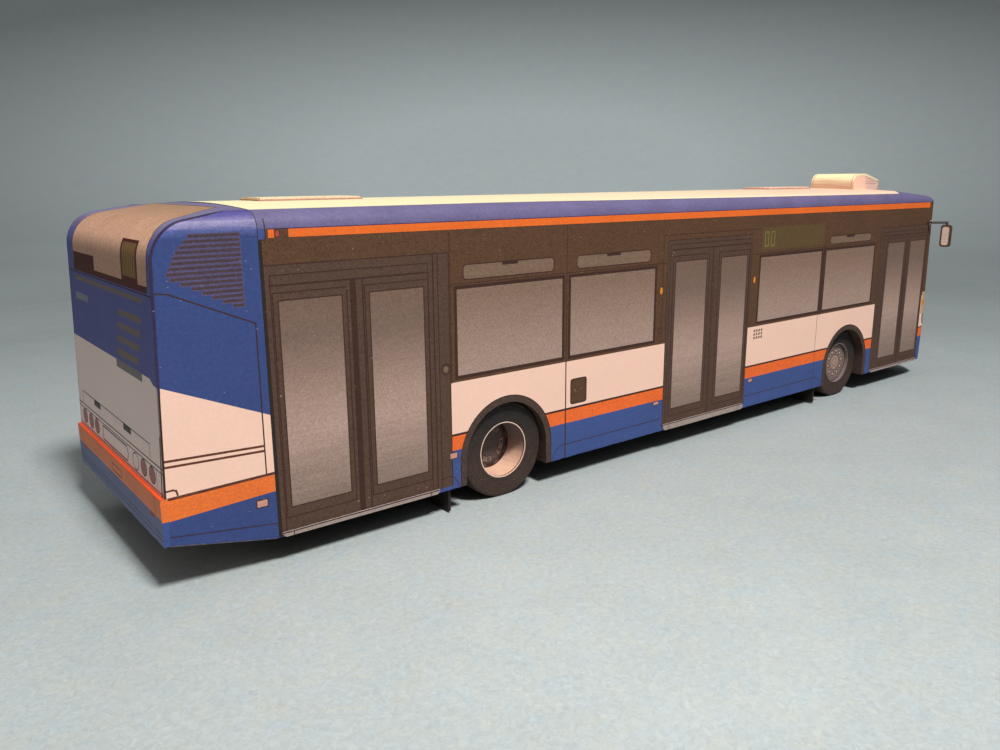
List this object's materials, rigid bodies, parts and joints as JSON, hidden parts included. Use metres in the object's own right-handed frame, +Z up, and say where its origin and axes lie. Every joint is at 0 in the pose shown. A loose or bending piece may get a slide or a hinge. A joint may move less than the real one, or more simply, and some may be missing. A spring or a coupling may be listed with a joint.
{
  "type": "card model of a city bus",
  "caption": "Small city bus made of printed card: a hollow box body with coved roof, doors and windows printed on, and wheels that roll on dowel axles.",
  "frame": {"origin": "on the ground under the middle of the model, centre of its length and width", "axes": "+X towards the front of the bus, +Y to its left, +Z up"},
  "size_m": [0.1352, 0.0358, 0.0351],
  "materials": {
    "printed_card": "inkjet-printed matt card in blue, white, orange and dark grey",
    "roof_card": "plain white matt card",
    "sill_card": "pale grey printed card",
    "black_card": "matt black card",
    "tyre_card": "laminated dark grey printed card, blackened edge",
    "rim_card": "pale grey rolled card with a white cut edge",
    "hub_card": "printed grey and black card disc",
    "dowel_wood": "thin round wooden dowel",
    "wire": "thin black wire",
    "mirror_card": "dark card with a pale mirror face"
  },
  "bodies": {
    "bus_body": {"floor": "black_card", "front_axle_sleeve": "black_card", "front_cap": "printed_card", "front_door_sill": "sill_card", "front_hatch": "roof_card", "front_left_mud_flap": "black_card", "front_left_wheel_well": "black_card", "front_right_mud_flap": "black_card", "front_right_wheel_well": "black_card", "left_mirror_arm": "wire", "left_mirror_head": "mirror_card", "left_quarter": "printed_card", "left_side": "printed_card", "middle_door_ramp": "sill_card", "rear_axle_sleeve": "black_card", "rear_bumper": "printed_card", "rear_cap": "printed_card", "rear_door_sill": "sill_card", "rear_hatch": "roof_card", "rear_left_mud_flap": "black_card", "rear_left_wheel_well": "black_card", "rear_right_mud_flap": "black_card", "rear_right_wheel_well": "black_card", "right_mirror_arm": "wire", "right_mirror_head": "mirror_card", "right_quarter": "printed_card", "right_side": "printed_card", "roof": "roof_card", "roof_unit": "roof_card"},
    "rear_axle_set": {"rear_axle": "dowel_wood", "rear_left_hub": "hub_card", "rear_left_rim": "rim_card", "rear_left_tyre": "tyre_card", "rear_right_hub": "hub_card", "rear_right_rim": "rim_card", "rear_right_tyre": "tyre_card"},
    "front_axle_set": {"front_axle": "dowel_wood", "front_left_hub": "hub_card", "front_left_rim": "rim_card", "front_left_tyre": "tyre_card", "front_right_hub": "hub_card", "front_right_rim": "rim_card", "front_right_tyre": "tyre_card"}
  },
  "joints": [
    {"name": "rear_axle_turn", "type": "hinge", "parent": "bus_body", "child": "rear_axle_set", "pos_m": [-0.03062, 0, 0.0054], "axis": [0, 1, 0], "continuous": true},
    {"name": "front_axle_turn", "type": "hinge", "parent": "bus_body", "child": "front_axle_set", "pos_m": [0.03857, 0, 0.0054], "axis": [0, 1, 0], "continuous": true}
  ]
}
